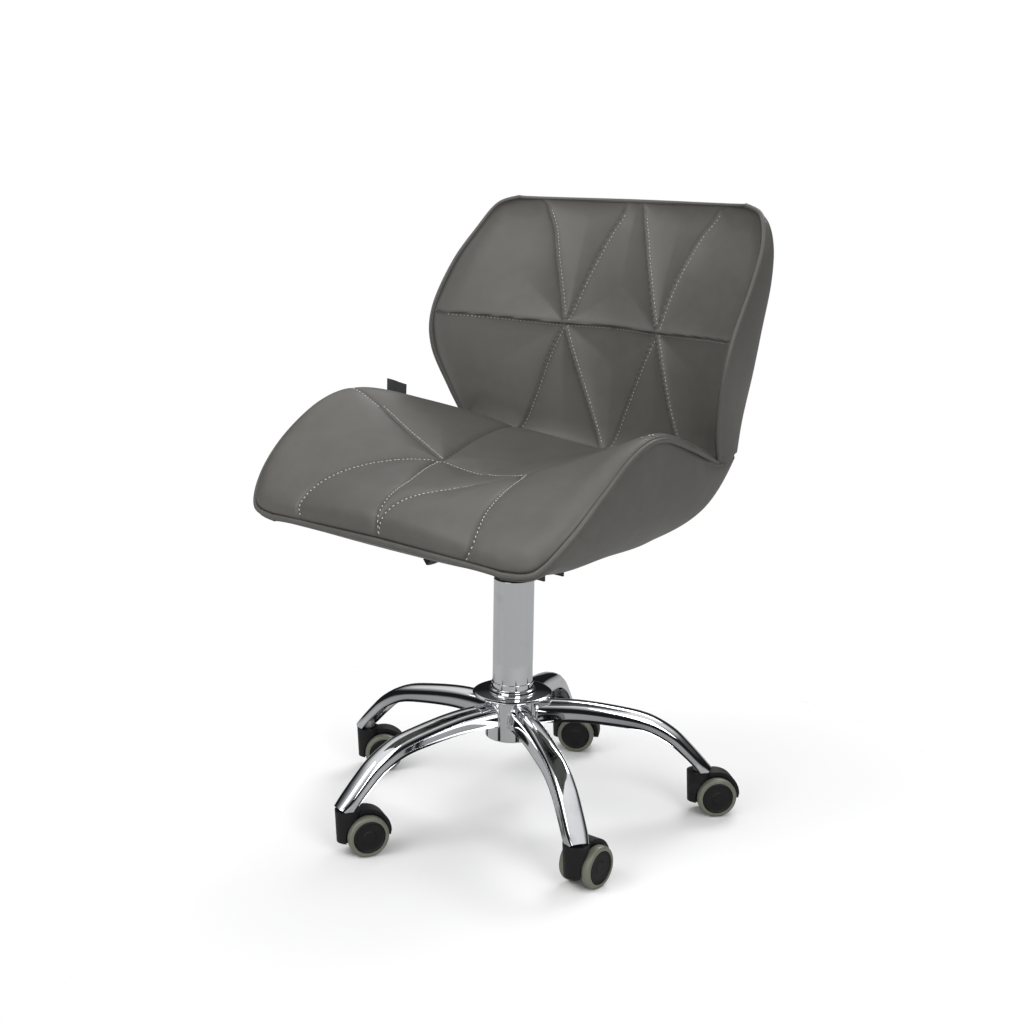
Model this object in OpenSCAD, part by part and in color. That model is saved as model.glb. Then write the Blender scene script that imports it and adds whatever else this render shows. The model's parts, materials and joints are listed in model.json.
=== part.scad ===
// Low-back swivel chair on a five-legged caster base with a gas-lift column.
// Millimetres, +Z up. The origin is on the floor, on the axis of the column.
// The sitter faces -Y, and +X is the sitter's left.

/* [Column and lift] */
// Outer radius of the column tube
column_r = 25; // [22:0.5:28]
// Wall of the column tube
column_wall = 2; // [1.5:0.5:3]
// Height of the column tube's lower end
column_z0 = 105; // [104:1:112]
// Height of the column tube's upper end
column_z1 = 303; // [290:1:330]
// Radius lost by the column tube in the taper that wedges it in the hub
column_taper = 0.8; // [0.5:0.1:1.5]
// Outer radius of the gas cylinder
cylinder_r = 14; // [12:0.5:16]
// Height of the gas cylinder's lower end, at the lowest seat height
cylinder_z0 = 131; // [130:1:140]
// Radius of the piston rod
rod_r = 5; // [4:0.5:6]
// Radius of the valve pin
valve_r = 4; // [3:0.5:5]
// Length of the plastic guide bush inside the column tube
bush_l = 78; // [50:1:100]
// Height of the guide bush's collar on top of the column tube
bush_collar_h = 5; // [3:1:8]

/* [Base] */
// Outer radius of the hub tube
hub_r = 33; // [30:0.5:38]
// Height of the hub tube's lower end
hub_z0 = 100; // [95:1:103]
// Height of the hub tube's upper end
hub_z1 = 154; // [152:1:160]
// Radius of the hub's round top plate
plate_r = 50; // [45:1:60]
// Thickness of the hub's round top plate
plate_t = 4; // [3:0.5:6]
// Height of the collar that stands on the hub's top plate
neck_h = 13; // [8:1:20]
// Number of legs
legs = 5; // [5:1:5]
// Direction of the first leg
leg_turn = 43; // [0:1:71]
// Distance from the column's axis to a caster's stem
stem_ring = 237; // [225:1:250]
// Width of a leg's channel at its open side
leg_w = 30; // [26:1:34]
// Depth of a leg's channel at the hub
leg_h = 27; // [22:1:32]
// Depth of a leg's channel at the tip, as a share of the depth at the hub
leg_thin = 0.5; // [0.4:0.05:0.8]
// Sheet thickness of a leg
leg_t = 2; // [1.5:0.5:3]

/* [Casters] */
// Radius of a wheel over its tyre
wheel_r = 25; // [23:0.5:27]
// Width of one wheel
wheel_w = 13; // [10:0.5:15]
// Gap between the two wheels of a caster
wheel_gap = 18; // [16:0.5:22]
// Thickness of a tyre
tyre_t = 5.5; // [3:0.5:7]
// Distance from a caster's stem to its axle, measured along the floor
trail = 20; // [16:1:24]
// Radius of a caster's stem
stem_r = 5.5; // [5:0.5:6]
// Radius of a caster's axle
axle_r = 3; // [2.5:0.5:4]
// Height of the top of a caster's hood
hood_z1 = 56; // [54:0.5:58]
// Radius of the upright barrel that holds a caster's stem
barrel_r = 15.5; // [13:0.5:17]

/* [Seat and back] */
// Greatest half width of the seat
seat_half_w = 252; // [225:1:280]
// Greatest half width of the back
back_half_w = 241; // [215:1:270]
// Height of the seat's underside
seat_under_z = 345; // [344:1:352]
// Height of the back's top edge
back_top_z = 755; // [700:1:800]
// Distance between the front skin and the rear skin at their rims
rim_gap = 9; // [6:0.5:12]
// Radius of the welt that runs round each rim
welt_r = 3; // [2:0.5:4]

/* [Mechanism] */
// Side of the square steel seat plate
seat_plate_w = 150; // [130:1:180]
// Thickness of the seat plate
seat_plate_t = 2.5; // [2:0.5:4]
// Distance between the seat plate's bolts, left to right
bolt_pitch_x = 110; // [90:1:120]
// Distance between the seat plate's bolts, front to back
bolt_pitch_y = 100; // [90:1:120]
// Radius of a seat plate bolt
bolt_r = 3; // [2.5:0.5:4]
// Radius of the lever's rod
lever_r = 3; // [2.5:0.5:4]
// Radius of the lever's cross pin
pivot_r = 4; // [3.5:0.5:5]
// Distance from the column's axis to the lever's pivot
pivot_x = 30; // [28:1:40]
// Distance from the column's axis to the lever's outer bend
lever_reach = 104; // [90:1:120]

/* [Hidden] */

// Colours
chrome = "#c9cbcf";
steel = "#8f9296";
black = "#1d1e20";
tyre_grey = "#74766a";
hide_grey = "#77736c";
ply_brown = "#b08b5a";
rubber = "#2b2b2b";

// Clearances: running is a turning or sliding fit, seat_fit is a fixed one
running = 0.05;
seat_fit = 0.02;
over = 1;

// Fineness of the round parts and of the sculpted skins
$fn = 64;
skin_cols = 22;
skin_rows = 16;
round_power = 2.8;

// The column's stack, from the bottom plate up
column_floor_t = 3;
bearing_z = column_z0 + column_floor_t + running;
bearing_washer_t = 1;
ball_r = 1.5;
ball_ring_r = 12;
ball_count = 10;
bearing_h = 2 * bearing_washer_t + 2 * ball_r + 4 * seat_fit;
buffer_h = 14;
clip_t = 1.8;
hub_plate_z = hub_z1 + 0.5;
neck_top = hub_plate_z + plate_t + neck_h;
column_bore = column_r - column_wall;
bush_z0 = column_z1 - bush_l;
piston_z = 276;
piston_h = 9;

// The seat's mechanism
mech_top = seat_under_z - 1;
mech_plate_z = mech_top - seat_plate_t;
socket_foot = column_z1 + bush_collar_h + 2;
cylinder_top = 327;
valve_top = cylinder_top + 6;
lever_z = valve_top + running + lever_r;
cylinder_wall = 1.6;
cylinder_head_z = 293;
taper_drop = 0.5;
socket_wall = 5;
lug_y = 9;
lug_t = 2.5;

// Layers between the front skin, 0, and the rear skin, 1
foam_end = 0.62;
ply_start = 0.64;
ply_end = 0.75;
iron_start = 0.77;
iron_end = 0.81;
cover_start = 0.83;
ply_cols = 16;
ply_rows = 13;

// Rest direction in which each caster trails behind its stem
caster_yaw = [52, 33, 50, 66, 93];

// --- Sculpted skins -------------------------------------------------------
// Each skin has three lines: down its middle, along its rim, and down the middle
// of its rear side. The seat's run from front to rear, the back's from bottom to top.
sw = seat_half_w;
bw = back_half_w;
su = seat_under_z;
bt = back_top_z;
seat_mid = [[0, -224, 390], [0, -216, 414], [0, -187, 429], [0, -130, 434],
            [0, -60, 434], [0, 10, 434], [0, 95, 435], [0, 162, 439]];
seat_rim = [[sw - 66, -222, 386], [sw - 25, -215, 393], [sw - 4, -187, 427], [sw + 3, -143, 468],
            [sw, -88, 504], [sw - 6, -36, 514], [sw - 20, 35, 494], [sw - 45, 121, 463]];
seat_rear = [[0, -222, 381], [0, -212, su + 31], [0, -180, su + 19], [0, -110, su + 3],
             [0, 0, su], [0, 110, su + 2], [0, 195, su + 27], [0, 230, su + 115]];
back_mid = [[0, 162, 443.5], [0, 163, 500], [0, 167, 560], [0, 175, 610],
            [0, 184, bt - 85], [0, 196, bt - 40], [0, 205, bt - 17], [0, 214, bt]];
back_rim = [[bw - 34, 121, 465], [bw - 23, 102, 508], [bw - 7, 86, 562], [bw - 1, 93, 610],
            [bw - 3, 128, bt - 87], [bw - 14, 162, bt - 43], [bw - 32, 182, bt - 11],
            [bw - 60, 192, bt - 1]];
back_rear = [[0, 231, 464], [0, 235, 505], [0, 239, 560], [0, 243, 610],
             [0, 246, bt - 90], [0, 243, bt - 50], [0, 236, bt - 25], [0, 224, bt - 7]];

// A smooth curve through the points p, at v from 0 to 1
function bend(a, b, c, d, t) =
    0.5 * (2 * b + (c - a) * t + (2 * a - 5 * b + 4 * c - d) * t * t
           + (3 * b - 3 * c + d - a) * t * t * t);
function along(p, v) =
    let (n = len(p) - 1, s = min(max(v, 0) * n, n - 0.000001), i = floor(s))
    bend(p[max(i - 1, 0)], p[i], p[i + 1], p[min(i + 2, n)], s - i);

// A point of a front skin: s runs from the right rim, -1, to the left rim, 1
function front_point(mid, rim, power_z, s, v) =
    let (m = along(mid, v), r = along(rim, v), u = sin(90 * s), a = abs(u))
    [r.x * u, m.y + (r.y - m.y) * pow(a, 2.2), m.z + (r.z - m.z) * pow(a, power_z)];

// A point of a rear skin: a rounded section that closes on the rim, one gap away.
// square is 1 where the section's depth runs along Y, and 0 where it hangs below the rim.
function rear_point(rear, rim, gap, square, s, v) =
    let (m = along(rear, v), r = along(rim, v) + gap, u = sin(90 * s), a = abs(u),
         c = pow(max(1 - pow(a, round_power), 0), 1 / round_power),
         cy = square * c + (1 - square) * (1 - pow(a, 2.2)))
    [r.x * u, r.y + (m.y - r.y) * cy, r.z + (m.z - r.z) * c];
function ease(a, b, v) = let (t = min(max((v - a) / (b - a), 0), 1)) t * t * (3 - 2 * t);

function seat_point(s, v, t) =
    (1 - t) * front_point(seat_mid, seat_rim, 1.4, s, v)
    + t * rear_point(seat_rear, seat_rim, [0, 0, -rim_gap], ease(0.7, 1, v), s, v);
function back_point(s, v, t) =
    (1 - t) * front_point(back_mid, back_rim, 2, s, v)
    + t * rear_point(back_rear, back_rim, [0, rim_gap, 0], 1, s, v);

// The faces of a closed block of (cols + 1) by (rows + 1) points in two layers
function grid_faces(cols, rows) =
    let (w = cols + 1, k = w * (rows + 1))
    concat(
        [for (j = [0:rows - 1], i = [0:cols - 1], h = [0, 1]) let (a = j * w + i)
            h == 0 ? [a, a + 1, a + w + 1] : [a, a + w + 1, a + w]],
        [for (j = [0:rows - 1], i = [0:cols - 1], h = [0, 1]) let (a = k + j * w + i)
            h == 0 ? [a, a + w + 1, a + 1] : [a, a + w, a + w + 1]],
        [for (i = [0:cols - 1], h = [0, 1])
            h == 0 ? [i, k + i, k + i + 1] : [i, k + i + 1, i + 1]],
        [for (i = [0:cols - 1], h = [0, 1]) let (a = rows * w + i)
            h == 0 ? [a, k + a + 1, k + a] : [a, a + 1, k + a + 1]],
        [for (j = [0:rows - 1], h = [0, 1]) let (a = j * w)
            h == 0 ? [a, k + a + w, k + a] : [a, a + w, k + a + w]],
        [for (j = [0:rows - 1], h = [0, 1]) let (a = j * w + cols)
            h == 0 ? [a, k + a, k + a + w] : [a, k + a + w, a + w]]);

// One layer of the seat, or of the back, between t0 and t1
module layer(is_seat, t0, t1, reach, v0, v1, cols, rows) {
    points = [for (t = [t0, t1], j = [0:rows], i = [0:cols])
        let (s = reach * (2 * i / cols - 1), v = v0 + (v1 - v0) * j / rows)
        is_seat ? seat_point(s, v, t) : back_point(s, v, t)];
    polyhedron(points, grid_faces(cols, rows), convexity = 6);
}

// --- Sweeps ---------------------------------------------------------------
// The side faces of a run of closed rings of n points each
function side_faces(rings, n) =
    [for (j = [0:rings - 2], i = [0:n - 1], h = [0, 1])
        let (a = j * n + i, b = j * n + (i + 1) % n)
        h == 0 ? [a, b, b + n] : [a, b + n, a + n]];

// The same with flat ends, for a round or square bar
function ring_faces(rings, n) =
    concat(side_faces(rings, n),
           [[for (i = [n - 1:-1:0]) i]],
           [[for (i = [0:n - 1]) (rings - 1) * n + i]]);

// The same with ends like a horseshoe: the outer side is the ring's first half
function channel_faces(rings, n) =
    let (last = (rings - 1) * n, m = n / 2)
    concat(side_faces(rings, n),
           [for (i = [0:m - 2], h = [0, 1])
               h == 0 ? [i, n - 1 - i, n - 2 - i] : [i, n - 2 - i, i + 1]],
           [for (i = [0:m - 2], h = [0, 1])
               h == 0 ? [last + i, last + n - 2 - i, last + n - 1 - i]
                      : [last + i, last + i + 1, last + n - 2 - i]]);

function unit(v) = v / norm(v);

// A round tube of radius r along the points of a path
module tube(path, r, sides) {
    n = len(path);
    points = [for (k = [0:n - 1])
        let (d = unit(path[min(k + 1, n - 1)] - path[max(k - 1, 0)]),
             a = unit(cross(d, abs(d.z) < 0.8 ? [0, 0, 1] : [0, 1, 0])),
             b = cross(a, d))
        for (i = [0:sides - 1])
            path[k] + r * (cos(360 * i / sides) * a + sin(360 * i / sides) * b)];
    polyhedron(points, ring_faces(n, sides), convexity = 8);
}

// --- Base -----------------------------------------------------------------
function column_r_at(z) =
    z >= neck_top ? column_r
    : column_r - column_taper * (neck_top - z) / (neck_top - column_z0);

module base_hub() {
    color(chrome)
    difference() {
        translate([0, 0, hub_z0])
            cylinder(h = hub_z1 - hub_z0, r = hub_r);
        translate([0, 0, hub_z0 - over])
            cylinder(h = column_z0 - hub_z0 + 2 * over, r = column_r_at(column_z0) - 1);
        translate([0, 0, column_z0 - seat_fit])
            cylinder(h = hub_z1 - column_z0 + over,
                     r1 = column_r_at(column_z0) + seat_fit,
                     r2 = column_r_at(hub_z1 + over) + seat_fit);
    }
}

module base_plate() {
    inner = column_r + running;
    edge = plate_t / 2;
    ring_r = column_r + 3.5;
    neck_r = column_r + 1;
    ring_h = 4;
    z = hub_plate_z;
    color(chrome)
    rotate_extrude()
    union() {
        translate([inner, z])
            square([plate_r - edge - inner, plate_t]);
        translate([plate_r - edge, z + edge])
            circle(r = edge);
        translate([inner, z])
            square([ring_r - inner, plate_t + ring_h]);
        translate([inner, z])
            square([neck_r - inner, plate_t + neck_h]);
    }
}

// The leg's back line, from the hub to the tip, as distance out and height
leg_line = [[26, 0, 147], [80, 0, 146], [130, 0, 139], [172, 0, 129], [204, 0, 111],
            [227, 0, 89], [stem_ring + 15, 0, 61]];
// Half of the channel's section: share of the half width, share of the depth
leg_half = [[1, -1], [0.95, -0.6], [0.83, -0.26], [0.6, -0.05], [0.3, 0], [0, 0]];
leg_stations = 16;

function leg_outline(grow) =
    [for (p = leg_half) [p.x * (leg_w / 2 - grow), p.y, p.y > -0.3 ? -grow : 0]];

// A ring of the channel at v, with its outer side first and its inner side back again
function leg_ring(v) =
    let (p = along(leg_line, v),
         d = unit(along(leg_line, v + 0.01) - along(leg_line, v - 0.01)),
         up = [-d.z, 0, d.x],
         depth = leg_h * (1 - (1 - leg_thin) * pow(v, 0.8)),
         outer = leg_outline(0),
         inner = leg_outline(leg_t),
         n = len(leg_half))
    concat(
        [for (i = [0:n - 1]) p + [0, outer[i].x, 0] + up * (outer[i].y * depth)],
        [for (i = [n - 2:-1:0]) p + [0, -outer[i].x, 0] + up * (outer[i].y * depth)],
        [for (i = [0:n - 1]) p + [0, -inner[i].x, 0] + up * (inner[i].y * depth + inner[i].z)],
        [for (i = [n - 2:-1:0]) p + [0, inner[i].x, 0] + up * (inner[i].y * depth + inner[i].z)]);

module leg(k) {
    rings = [for (j = [0:leg_stations]) leg_ring(j / leg_stations)];
    points = [for (ring = rings, p = ring) p];
    color(chrome)
    rotate([0, 0, leg_turn + k * 360 / legs])
    difference() {
        polyhedron(points, channel_faces(len(rings), len(rings[0])), convexity = 8);
        translate([0, 0, hub_z0])
            cylinder(h = hub_z1 - hub_z0, r = hub_r + seat_fit);
        // The tip is cut level above the caster
        translate([stem_ring - leg_w, -leg_w, 0])
            cube([2 * leg_w, 2 * leg_w, socket_z0]);
    }
}

// The welded bushes in the leg tips that take the casters' stems
socket_z0 = hood_z1 + 1;
socket_h = 9;
socket_r = 7.4;
module caster_sockets() {
    color(steel)
    for (k = [0:legs - 1])
        rotate([0, 0, leg_turn + k * 360 / legs])
        translate([stem_ring, 0, socket_z0])
        difference() {
            cylinder(h = socket_h, r = socket_r);
            translate([0, 0, -over])
                cylinder(h = socket_h + 2 * over, r = stem_r + running);
        }
}

// --- Column ---------------------------------------------------------------
module column_tube() {
    color(chrome)
    difference() {
        union() {
            translate([0, 0, neck_top])
                cylinder(h = column_z1 - neck_top, r = column_r);
            translate([0, 0, column_z0])
                cylinder(h = neck_top - column_z0, r1 = column_r_at(column_z0), r2 = column_r);
        }
        translate([0, 0, column_z0 + column_floor_t])
            cylinder(h = column_z1 - column_z0, r = column_bore);
        translate([0, 0, column_z0 - over])
            cylinder(h = column_floor_t + 2 * over, r = rod_r + running);
    }
}

module column_bush() {
    color(black)
    difference() {
        union() {
            translate([0, 0, bush_z0])
                cylinder(h = bush_l, r = column_bore - seat_fit);
            translate([0, 0, column_z1 + seat_fit])
                cylinder(h = bush_collar_h, r = column_r - 0.5);
            translate([0, 0, column_z1 - over])
                cylinder(h = 2 * over, r = column_bore - seat_fit);
        }
        translate([0, 0, bush_z0 - over])
            cylinder(h = bush_l + bush_collar_h + 3 * over, r = cylinder_r + running);
    }
}

module piston_rod() {
    groove_z = column_z0 - clip_t - running;
    color(chrome)
    difference() {
        union() {
            translate([0, 0, groove_z - 2])
                cylinder(h = piston_z - groove_z + 4, r = rod_r);
            translate([0, 0, piston_z])
                cylinder(h = piston_h, r = cylinder_r - cylinder_wall - running);
        }
        translate([0, 0, groove_z - seat_fit])
            difference() {
                cylinder(h = clip_t + 2 * seat_fit, r = rod_r + over);
                translate([0, 0, -over])
                    cylinder(h = clip_t + 2 * over, r = rod_r - 0.8);
            }
    }
}

// Two washers with a cage of balls between them
module thrust_bearing() {
    washer_r = ball_ring_r + 4;
    cage_z = bearing_z + bearing_washer_t + 2 * seat_fit;
    color(steel) {
        for (z = [bearing_z, cage_z + 2 * ball_r + 2 * seat_fit])
            translate([0, 0, z])
            difference() {
                cylinder(h = bearing_washer_t, r = washer_r);
                translate([0, 0, -over])
                    cylinder(h = bearing_washer_t + 2 * over, r = rod_r + running);
            }
        difference() {
            translate([0, 0, cage_z + ball_r / 2])
                cylinder(h = ball_r, r = washer_r - 1);
            translate([0, 0, cage_z - over])
                cylinder(h = 2 * ball_r + 2 * over, r = rod_r + 3);
        }
        for (k = [0:ball_count - 1])
            rotate([0, 0, k * 360 / ball_count])
            translate([ball_ring_r, 0, cage_z + ball_r])
                sphere(r = ball_r);
    }
}

module rod_clip() {
    color(steel)
    translate([0, 0, column_z0 - clip_t - running])
    difference() {
        cylinder(h = clip_t, r = rod_r + 4);
        translate([0, 0, -over])
            cylinder(h = clip_t + 2 * over, r = rod_r - 0.8 + seat_fit);
        translate([0, -1.5, -over])
            cube([rod_r + 5, 3, clip_t + 2 * over]);
    }
}

module rubber_buffer() {
    color(rubber)
    translate([0, 0, bearing_z + bearing_h + seat_fit])
    difference() {
        cylinder(h = buffer_h, r = ball_ring_r);
        translate([0, 0, -over])
            cylinder(h = buffer_h + 2 * over, r = rod_r + running);
    }
}

module gas_cylinder() {
    bore = cylinder_r - cylinder_wall;
    color(steel)
    difference() {
        union() {
            translate([0, 0, cylinder_z0])
                cylinder(h = socket_foot - cylinder_z0, r = cylinder_r);
            translate([0, 0, socket_foot])
                cylinder(h = cylinder_top - socket_foot, r1 = cylinder_r,
                         r2 = cylinder_r - taper_drop);
        }
        translate([0, 0, cylinder_z0 + 3])
            cylinder(h = cylinder_head_z - cylinder_z0 - 3, r = bore);
        translate([0, 0, cylinder_z0 - over])
            cylinder(h = 3 + 2 * over, r = rod_r + running);
        translate([0, 0, cylinder_head_z - over])
            cylinder(h = cylinder_top - cylinder_head_z + 2 * over, r = valve_r + running);
    }
}

module valve_pin() {
    color(chrome)
    translate([0, 0, cylinder_head_z + 3])
        cylinder(h = valve_top - cylinder_head_z - 3, r = valve_r);
}

// --- Mechanism under the seat ---------------------------------------------
module bolt_places() {
    for (x = [-1, 1], y = [-1, 1])
        translate([x * bolt_pitch_x / 2, y * bolt_pitch_y / 2, 0])
            children();
}

module seat_plate() {
    corner = 10;
    half = seat_plate_w / 2 - corner;
    lug_z = lever_z - pivot_r - 3;
    rib_z = mech_plate_z - 12;
    notch_w = 2 * lever_r + 4;
    color(black)
    difference() {
        union() {
            // Flat plate with round corners
            translate([0, 0, mech_plate_z])
                linear_extrude(seat_plate_t)
                union() {
                    square([2 * half + 2 * corner, 2 * half], center = true);
                    square([2 * half, 2 * half + 2 * corner], center = true);
                    for (x = [-half, half], y = [-half, half])
                        translate([x, y])
                            circle(r = corner);
                }
            // Tapered socket for the gas cylinder
            translate([0, 0, socket_foot])
                cylinder(h = cylinder_top - socket_foot, r = cylinder_r + socket_wall);
            // Two webs that carry the socket
            for (y = [-1, 1])
                translate([-half, y * (cylinder_r + 3) - seat_plate_t / 2, socket_foot + 4])
                    cube([2 * half, seat_plate_t, mech_plate_z - socket_foot - 3]);
            // Lugs for the lever's pivot
            for (y = [-1, 1])
                translate([-pivot_x - 6, y * lug_y - lug_t / 2, lug_z])
                    cube([12, lug_t, mech_plate_z - lug_z + 0.5]);
            // Stiffening ribs at the front and at the rear
            for (y = [-1, 1])
                translate([-half, y * (seat_plate_w / 2 - 4) - seat_plate_t / 2, rib_z])
                    cube([2 * half, seat_plate_t, mech_plate_z - rib_z + 0.5]);
        }
        translate([0, 0, socket_foot])
            cylinder(h = cylinder_top - socket_foot, r1 = cylinder_r + seat_fit,
                     r2 = cylinder_r - taper_drop + seat_fit);
        translate([0, 0, socket_foot - over])
            cylinder(h = over + seat_fit, r = cylinder_r + seat_fit);
        translate([0, 0, cylinder_top - seat_fit])
            cylinder(h = over, r = cylinder_r - taper_drop + seat_fit);
        bolt_places()
            translate([0, 0, mech_plate_z - over])
                cylinder(h = seat_plate_t + 2 * over, r = bolt_r + 0.5);
        translate([-pivot_x, 0, lever_z])
            rotate([90, 0, 0])
                cylinder(h = 3 * lug_y, r = pivot_r + running, center = true);
        // Notch that the lever's outer end rises into
        translate([-half - corner - over, -notch_w / 2, mech_plate_z - over])
            cube([half + corner + over - pivot_x - 18, notch_w, seat_plate_t + 2 * over]);
    }
}

bolt_head_h = 4;
bolt_end = 376;
nut_flange_z = 374.5;
nut_flange_t = 1.5;
nut_flange_r = 8;
nut_barrel_r = 4.4;
nut_z0 = 366;

module plate_bolts() {
    color(steel)
    bolt_places()
        union() {
            translate([0, 0, mech_plate_z - bolt_head_h])
                cylinder(h = bolt_head_h, r = bolt_r * 1.8, $fn = 6);
            translate([0, 0, mech_plate_z - 0.1])
                cylinder(h = bolt_end - mech_plate_z + 0.1, r = bolt_r);
        }
}

module tee_nuts() {
    color(steel)
    bolt_places()
        difference() {
            union() {
                translate([0, 0, nut_z0])
                    cylinder(h = nut_flange_z - nut_z0 + 0.1, r = nut_barrel_r);
                translate([0, 0, nut_flange_z])
                    cylinder(h = nut_flange_t, r = nut_flange_r);
            }
            translate([0, 0, nut_z0 - over])
                cylinder(h = nut_flange_z - nut_z0 + nut_flange_t + 2 * over, r = bolt_r + seat_fit);
        }
}

// The lever: a rod that rocks on a cross pin, with its inner end over the valve pin
lever_drop = 34;
lever_angle = 48;
elbow_r = lever_r + 0.4;
module lever_rod() {
    color(steel)
    union() {
        translate([1, 0, lever_z])
            rotate([0, -90, 0])
                cylinder(h = lever_reach + 1, r = lever_r);
        translate([-lever_reach, 0, lever_z])
            sphere(r = elbow_r);
        translate([-lever_reach, 0, lever_z])
            rotate([0, -180 + lever_angle, 0])
                cylinder(h = lever_drop, r = lever_r);
        translate([-pivot_x, 0, lever_z])
            rotate([90, 0, 0])
                cylinder(h = 2 * lug_y + 2 * lug_t, r = pivot_r, center = true);
    }
}

grip_l = 46;
grip_w = 22;
grip_t = 9;
grip_start = 14;
module lever_grip() {
    color(black)
    translate([-lever_reach, 0, lever_z])
    rotate([0, -180 + lever_angle, 0])
    difference() {
        translate([0, 0, grip_start])
        intersection() {
            translate([-grip_t / 2, -grip_w / 2, 0])
                cube([grip_t, grip_w, grip_l]);
            translate([0, 0, grip_l / 2])
                rotate([0, 90, 0])
                    cylinder(h = 2 * grip_t, r = grip_l / 2 + 0.2, center = true);
        }
        cylinder(h = lever_drop + seat_fit, r = lever_r + seat_fit);
    }
}

// --- Seat and back --------------------------------------------------------
module seat_ply() {
    color(ply_brown)
    difference() {
        layer(true, ply_start, ply_end, ply_cols / skin_cols, 2 / skin_rows, 15 / skin_rows,
              ply_cols, ply_rows);
        bolt_places() {
            translate([0, 0, seat_under_z])
                cylinder(h = 60, r = nut_barrel_r + 0.2);
            translate([0, 0, nut_flange_z - 0.2])
                cylinder(h = 30, r = nut_flange_r + 0.5);
        }
    }
}

module back_ply() {
    color(ply_brown)
    layer(false, ply_start, ply_end, ply_cols / skin_cols, 1 / skin_rows, 14 / skin_rows,
          ply_cols, ply_rows);
}

// Two bent steel straps that join the seat ply to the back ply round the rear bend
iron_in = 0.15;
iron_out = 0.23;
module back_irons() {
    color(steel)
    for (side = [-1, 1]) {
        a = side > 0 ? iron_in : -iron_out;
        b = side > 0 ? iron_out : -iron_in;
        seat_v = [for (j = [12:16]) j / 16];
        back_v = [for (j = [0:4]) j / 16];
        rings = concat(
            [for (v = seat_v) [seat_point(a, v, iron_start), seat_point(b, v, iron_start),
                               seat_point(b, v, iron_end), seat_point(a, v, iron_end)]],
            [for (v = back_v) [back_point(a, v, iron_start), back_point(b, v, iron_start),
                               back_point(b, v, iron_end), back_point(a, v, iron_end)]]);
        polyhedron([for (ring = rings, p = ring) p], ring_faces(len(rings), 4), convexity = 6);
    }
}

module seat_cushion() {
    color(hide_grey)
    layer(true, 0, foam_end, 1, 0, 1, skin_cols, skin_rows);
}

module back_cushion() {
    color(hide_grey)
    layer(false, 0, foam_end, 1, 0, 1, skin_cols, skin_rows);
}

module seat_cover() {
    color(hide_grey)
    difference() {
        layer(true, cover_start, 1, 1, 0, 1, skin_cols, skin_rows);
        bolt_places()
            translate([0, 0, seat_under_z - 5])
                cylinder(h = 40, r = nut_barrel_r + 0.6);
    }
}

module back_cover() {
    color(hide_grey)
    layer(false, cover_start, 1, 1, 0, 1, skin_cols, skin_rows);
}

// The welts lie just outside the rims. across is the way the strip between the rims
// runs, and spread holds the extra distance outwards of each point.
welt_sides = 8;
welt_gap = 0.8;
function pushed_out(p, across, spread) =
    let (n = len(p))
    [for (k = [0:n - 1])
        p[k] + (welt_r + welt_gap + spread[k])
            * unit(cross(p[min(k + 1, n - 1)] - p[max(k - 1, 0)], across))];

module seat_welt() {
    places = concat(
        [for (j = [skin_rows:-1:1]) [-1, j / skin_rows]],
        [for (i = [0:skin_cols]) [2 * i / skin_cols - 1, 0]],
        [for (j = [1:skin_rows]) [1, j / skin_rows]]);
    // Towards its rear ends the welt goes round the swell of the cushion's corners
    spread = [for (place = places) 15 * max(place[1] - 0.8, 0)];
    color(hide_grey)
    tube(pushed_out([for (place = places) seat_point(place[0], place[1], 0.2)],
                    [0, 0, 1], spread),
         welt_r, welt_sides);
}

module back_welt() {
    places = concat(
        [for (j = [0:skin_rows - 1]) [-1, j / skin_rows]],
        [for (i = [0:skin_cols]) [2 * i / skin_cols - 1, 1]],
        [for (j = [skin_rows - 1:-1:0]) [1, j / skin_rows]]);
    color(hide_grey)
    tube(pushed_out([for (place = places) back_point(place[0], place[1], 0.4)],
                    [0, 1, 0], [for (place = places) 0]),
         welt_r, welt_sides);
}

// --- Casters --------------------------------------------------------------
// A caster is drawn with its stem on the Z axis and its wheels trailing towards +X
hood_clear = 1.5;
hood_r = hood_z1 - wheel_r;
hood_half = wheel_gap / 2 - 0.5;
rim_half = hood_half + 2;
barrel_z0 = 17;
stem_z0 = 34;
stem_z1 = socket_z0 + socket_h + 1;
core_r = wheel_r - tyre_t;
axle_half = wheel_gap / 2 + wheel_w - 3;

module caster_place(k) {
    turn = leg_turn + k * 360 / legs;
    translate([stem_ring * cos(turn), stem_ring * sin(turn), 0])
    rotate([0, 0, caster_yaw[k]])
        children();
}

module wheel_pocket(side) {
    translate([trail, side * hood_half, wheel_r])
        rotate([-90 * side, 0, 0])
            cylinder(h = 2 * wheel_w, r = wheel_r + hood_clear);
}

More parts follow.
